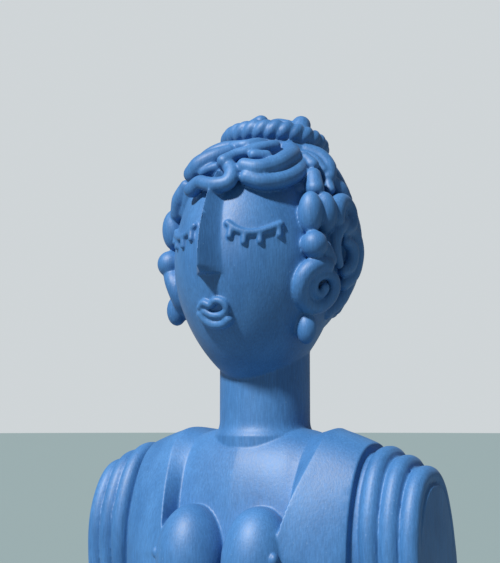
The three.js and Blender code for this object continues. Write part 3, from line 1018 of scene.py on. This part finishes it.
@dataclass(frozen=True)
class BluePaint:
    """Semi-matte blue paint, brushed over fired terracotta."""

    deep: Colour = (0.028, 0.122, 0.320)
    fair: Colour = (0.048, 0.170, 0.410)
    worn: Colour = (0.120, 0.240, 0.450)
    grain_mm: float = 0.9
    grain_stretch: float = 9.0
    speck_mm: float = 1.6
    wear: float = 0.15
    speck_wear: float = 0.6
    roughness: tuple[float, float] = (0.45, 0.60)

    def material(self) -> bpy.types.Material:
        """Make the paint with its brush grain, mottling, specks and worn edges.

        Returns:
            The material.
        """
        paint = bpy.data.materials.new("blue_paint")
        paint.use_nodes = True
        nodes, links = paint.node_tree.nodes, paint.node_tree.links
        shader = nodes["Principled BSDF"]
        shader.inputs["Specular IOR Level"].default_value = 0.5
        shader.inputs["Sheen Weight"].default_value = 0.04
        shader.inputs["Sheen Roughness"].default_value = 0.4
        place = nodes.new("ShaderNodeTexCoord")

        def noise(scale: tuple[float, float, float], detail: float, rough: float) -> bpy.types.Node:
            stretch = nodes.new("ShaderNodeMapping")
            stretch.inputs["Scale"].default_value = scale
            links.new(place.outputs["Object"], stretch.inputs["Vector"])
            texture = nodes.new("ShaderNodeTexNoise")
            texture.inputs["Scale"].default_value = 1.0
            texture.inputs["Detail"].default_value = detail
            texture.inputs["Roughness"].default_value = rough
            links.new(stretch.outputs["Vector"], texture.inputs["Vector"])
            return texture

        def remap(
            source: bpy.types.NodeSocket, low: float, high: float, bottom: float, top: float
        ) -> bpy.types.NodeSocket:
            node = nodes.new("ShaderNodeMapRange")
            node.inputs["From Min"].default_value = low
            node.inputs["From Max"].default_value = high
            node.inputs["To Min"].default_value = bottom
            node.inputs["To Max"].default_value = top
            links.new(source, node.inputs["Value"])
            return node.outputs["Result"]

        fine = 1 / (self.grain_mm * MM)
        grain = noise((fine, fine, fine / self.grain_stretch), 4, 0.6)
        mottle = noise((42, 42, 24), 3, 0.55)
        specks = noise((1 / (self.speck_mm * MM),) * 3, 2, 0.5)

        tone = self.ramp(nodes, ((0.32, self.deep), (0.68, self.fair)))
        links.new(mottle.outputs["Fac"], tone.inputs["Fac"])
        streaks = self.ramp(nodes, ((0.35, (0.86, 0.86, 0.86)), (0.7, (1.12, 1.12, 1.12))))
        links.new(grain.outputs["Fac"], streaks.inputs["Fac"])
        brushed = self.blend(nodes, "MULTIPLY", 1.0)
        links.new(tone.outputs["Color"], brushed.inputs["A"])
        links.new(streaks.outputs["Color"], brushed.inputs["B"])

        edge = nodes.new("ShaderNodeNewGeometry")
        worn_edge = remap(edge.outputs["Pointiness"], 0.53, 0.66, 0.0, self.wear)
        dusty = self.blend(nodes, "MIX", 0.0)
        links.new(worn_edge, dusty.inputs["Factor"])
        links.new(brushed.outputs["Result"], dusty.inputs["A"])
        dusty.inputs["B"].default_value = (*self.worn, 1)

        dotted = self.blend(nodes, "MIX", 0.0)
        dots = remap(specks.outputs["Fac"], 0.70, 0.78, 0.0, self.speck_wear)
        links.new(dots, dotted.inputs["Factor"])
        links.new(dusty.outputs["Result"], dotted.inputs["A"])
        dotted.inputs["B"].default_value = (*self.worn, 1)
        links.new(dotted.outputs["Result"], shader.inputs["Base Color"])

        gloss = remap(grain.outputs["Fac"], 0.0, 1.0, *self.roughness)
        links.new(gloss, shader.inputs["Roughness"])

        brush = nodes.new("ShaderNodeBump")
        brush.inputs["Strength"].default_value = 0.35
        brush.inputs["Distance"].default_value = 0.25 * MM
        links.new(grain.outputs["Fac"], brush.inputs["Height"])
        pits = nodes.new("ShaderNodeBump")
        pits.inputs["Strength"].default_value = 0.25
        pits.inputs["Distance"].default_value = 0.3 * MM
        links.new(specks.outputs["Fac"], pits.inputs["Height"])
        links.new(brush.outputs["Normal"], pits.inputs["Normal"])
        links.new(pits.outputs["Normal"], shader.inputs["Normal"])
        return paint

    @staticmethod
    def ramp(nodes: bpy.types.Nodes, stops: Sequence[tuple[float, Colour]]) -> bpy.types.Node:
        """Add a colour ramp of two stops.

        Args:
            nodes: The material's nodes.
            stops: Each stop's place and colour.

        Returns:
            The ramp.
        """
        ramp = nodes.new("ShaderNodeValToRGB")
        for element, (place, colour) in zip(ramp.color_ramp.elements, stops):
            element.position = place
            element.color = (*colour, 1)
        return ramp

    @staticmethod
    def blend(nodes: bpy.types.Nodes, kind: str, share: float) -> bpy.types.Node:
        """Add a colour mix.

        Args:
            nodes: The material's nodes.
            kind: How it mixes.
            share: How much of the second colour it takes.

        Returns:
            The mix.
        """
        node = nodes.new("ShaderNodeMix")
        node.data_type = "RGBA"
        node.blend_type = kind
        node.inputs["Factor"].default_value = share
        return node


@dataclass
class Cast:
    """The whole figure, fused from its forms as one cast."""

    grain: float = 0.65 * MM
    softening: int = 4
    reach: float = 106 * MM
    most_faces: int = 190_000
    crease_degrees: float = 50.0

    def fuse(self, forms: Sequence[bpy.types.Object]) -> bpy.types.Object:
        """Fuse the forms, soften the creases and cut the figure flat below.

        Args:
            forms: The closed forms.

        Returns:
            The cast.
        """
        pick(forms)
        bpy.ops.object.join()
        cast = bpy.context.object
        cast.name = cast.data.name = "painted_cast"
        for kind, name, settings in (
            ("REMESH", "fuse", {"mode": "VOXEL", "voxel_size": self.grain}),
            ("SMOOTH", "soften", {"factor": 0.5, "iterations": self.softening}),
        ):
            modifier = cast.modifiers.new(name, kind)
            for key, value in settings.items():
                setattr(modifier, key, value)
            bpy.ops.object.modifier_apply(modifier=name)
        self.cut_flat(cast)
        faces = sum(len(polygon.vertices) - 2 for polygon in cast.data.polygons)
        thin = cast.modifiers.new("thin", "DECIMATE")
        thin.ratio = min(1.0, self.most_faces / faces)
        bpy.ops.object.modifier_apply(modifier="thin")
        bpy.ops.object.shade_smooth_by_angle(angle=math.radians(self.crease_degrees))
        return cast

    def cut_flat(self, cast: bpy.types.Object) -> None:
        """Cut off and close what lies below the underside, and flatten the cuts of the arms.

        Args:
            cast: The fused figure.
        """
        pick([cast])
        bpy.ops.object.mode_set(mode="EDIT")
        bpy.ops.mesh.select_all(action="SELECT")
        bpy.ops.mesh.bisect(
            plane_co=(0, 0, 0), plane_no=(0, 0, -1), clear_outer=True, use_fill=True
        )
        for side in Side:
            bpy.ops.mesh.select_all(action="SELECT")
            bpy.ops.mesh.bisect(plane_co=(side.value * self.reach, 0, 0), plane_no=(1, 0, 0))
        bpy.ops.object.mode_set(mode="OBJECT")
        for vertex in cast.data.vertices:
            vertex.co.x = min(max(vertex.co.x, -self.reach), self.reach)


@dataclass
class Studio:
    """The plain floor, the key light, the pale sky and the camera."""

    azimuth: float = 30.0
    distance: float = 0.770
    height: float = 0.1365
    lens: float = 85.0
    sensor: float = 36.0
    neck_pixel: float = 265.0
    raise_pixels: float = 124.0
    key_azimuth: float = -13.0
    key_elevation: float = 47.0
    key_energy: float = 5.9
    key_spread: float = 6.0
    key_colour: Colour = (1.0, 0.96, 0.9)
    sky_colour: Colour = (0.70, 0.80, 0.88)
    sky_strength: float = 0.25
    backdrop_colour: Colour = (0.66, 0.70, 0.72)
    backdrop_strength: float = 0.95
    floor_colour: Colour = (0.20, 0.27, 0.29)
    frame_size: tuple[int, int] = (500, 563)

    def floor(self) -> None:
        """Lay the plain grey-green floor."""
        deselect()
        bpy.ops.mesh.primitive_circle_add(vertices=96, radius=6, fill_type="NGON")
        floor = bpy.context.object
        floor.name = "floor"
        plaster = bpy.data.materials.new("floor")
        plaster.use_nodes = True
        shader = plaster.node_tree.nodes["Principled BSDF"]
        shader.inputs["Base Color"].default_value = (*self.floor_colour, 1)
        shader.inputs["Roughness"].default_value = 0.9
        floor.data.materials.append(plaster)

    def light(self) -> None:
        """Set the key light and the pale sky, which the camera sees paler than it shines."""
        deselect()
        bpy.ops.object.light_add(type="SUN", location=(0, -1, 1))
        key = bpy.context.object
        key.name = "key"
        key.data.energy = self.key_energy
        key.data.angle = math.radians(self.key_spread)
        key.data.color = self.key_colour
        turn, tilt = math.radians(self.key_azimuth), math.radians(self.key_elevation)
        level = math.cos(tilt)
        aim = Vector((-math.sin(turn) * level, math.cos(turn) * level, -math.sin(tilt)))
        key.rotation_euler = aim.to_track_quat("-Z", "Y").to_euler()
        world = bpy.data.worlds.new("surroundings")
        world.use_nodes = True
        nodes, links = world.node_tree.nodes, world.node_tree.links
        sky = nodes["Background"]
        sky.inputs["Color"].default_value = (*self.sky_colour, 1)
        sky.inputs["Strength"].default_value = self.sky_strength
        seen = nodes.new("ShaderNodeBackground")
        seen.inputs["Color"].default_value = (*self.backdrop_colour, 1)
        seen.inputs["Strength"].default_value = self.backdrop_strength
        ray = nodes.new("ShaderNodeLightPath")
        either = nodes.new("ShaderNodeMixShader")
        links.new(ray.outputs["Is Camera Ray"], either.inputs["Fac"])
        links.new(sky.outputs["Background"], either.inputs[1])
        links.new(seen.outputs["Background"], either.inputs[2])
        links.new(either.outputs["Shader"], nodes["World Output"].inputs["Surface"])
        bpy.context.scene.world = world
        bpy.context.scene.view_settings.view_transform = "Standard"

    def camera(self) -> None:
        """Place the camera at the height of the shoulders, looking slightly up."""
        focal = self.lens / self.sensor * max(self.frame_size)
        turn = math.radians(self.azimuth)
        back = Vector((math.sin(turn), -math.cos(turn), 0))
        right = Vector((math.cos(turn), math.sin(turn), 0))
        pitch = math.atan(self.raise_pixels / focal)
        yaw = math.atan((self.neck_pixel - self.frame_size[0] / 2) / focal * math.cos(pitch))
        ahead = -back * math.cos(yaw) - right * math.sin(yaw)
        side = right * math.cos(yaw) - back * math.sin(yaw)
        look = ahead * math.cos(pitch) + Vector((0, 0, math.sin(pitch)))
        up = side.cross(look)
        deselect()
        bpy.ops.object.camera_add()
        camera = bpy.context.object
        camera.data.lens = self.lens
        camera.data.sensor_width = self.sensor
        camera.data.clip_start = 0.01
        matrix = Matrix((side, up, -look)).transposed().to_4x4()
        matrix.translation = back * self.distance + Vector((0, 0, self.height))
        camera.matrix_world = matrix
        bpy.context.scene.camera = camera

    def build(self) -> None:
        """Set up the floor, the light and the camera."""
        self.floor()
        self.light()
        self.camera()


def main() -> None:
    """Build the bust and its studio."""
    logging.basicConfig(level=logging.INFO, format="%(name)s: %(message)s")
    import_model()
    Studio().build()
    head = Head()
    forms = [*Torso().build(), *head.build(), *Hair(head).build()]
    LOG.info("%d forms modelled", len(forms))
    cast = Cast().fuse(forms)
    cast.data.materials.clear()
    cast.data.materials.append(BluePaint().material())
    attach(cast, "root")
    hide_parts("bust")
    LOG.info("%s has %d faces", cast.name, len(cast.data.polygons))


if __name__ == "__main__":
    main()
